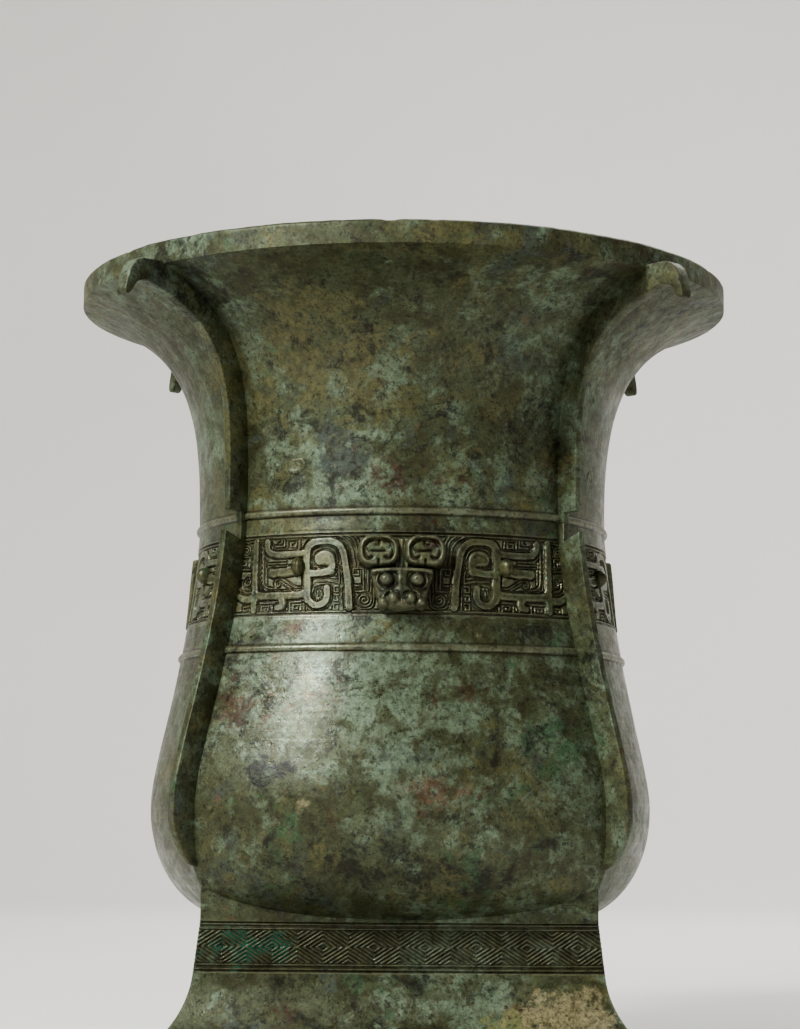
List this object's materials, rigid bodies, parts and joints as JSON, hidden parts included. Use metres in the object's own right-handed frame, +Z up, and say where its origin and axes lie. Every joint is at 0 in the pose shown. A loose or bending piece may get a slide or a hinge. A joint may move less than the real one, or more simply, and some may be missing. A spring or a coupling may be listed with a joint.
{
  "type": "bronze zun wine vessel",
  "caption": "Ritual bronze wine vessel: round flared mouth, rounded-square neck and belly, square foot, corner flanges, bowstrings and a frieze of animal masks.",
  "frame": {"origin": "middle of the standing edge, on the surface the vessel stands on", "axes": "+Z up along the vessel's axis, -Y towards the viewer of the picture, +X to the viewer's right"},
  "size_m": [0.24, 0.24, 0.283],
  "materials": {
    "patina": "aged bronze, grey-green patina",
    "relief": "aged bronze, rubbed on the high places",
    "chaplet": "aged bronze, brown patina"
  },
  "bodies": {
    "root": {"mouth_neck": "patina", "belly": "patina", "foot": "patina", "neck_flange_front_left": "patina", "neck_flange_front_right": "patina", "neck_flange_back_right": "patina", "neck_flange_back_left": "patina", "belly_flange_front_left": "patina", "belly_flange_front_right": "patina", "belly_flange_back_right": "patina", "belly_flange_back_left": "patina", "mask_front": "relief", "mask_back": "relief", "frieze_rib_right": "relief", "frieze_rib_left": "relief", "dragon_eyes_front": "relief", "dragon_eyes_right": "relief", "dragon_eyes_back": "relief", "dragon_eyes_left": "relief", "neck_chaplets": "chaplet"}
  },
  "joints": []
}
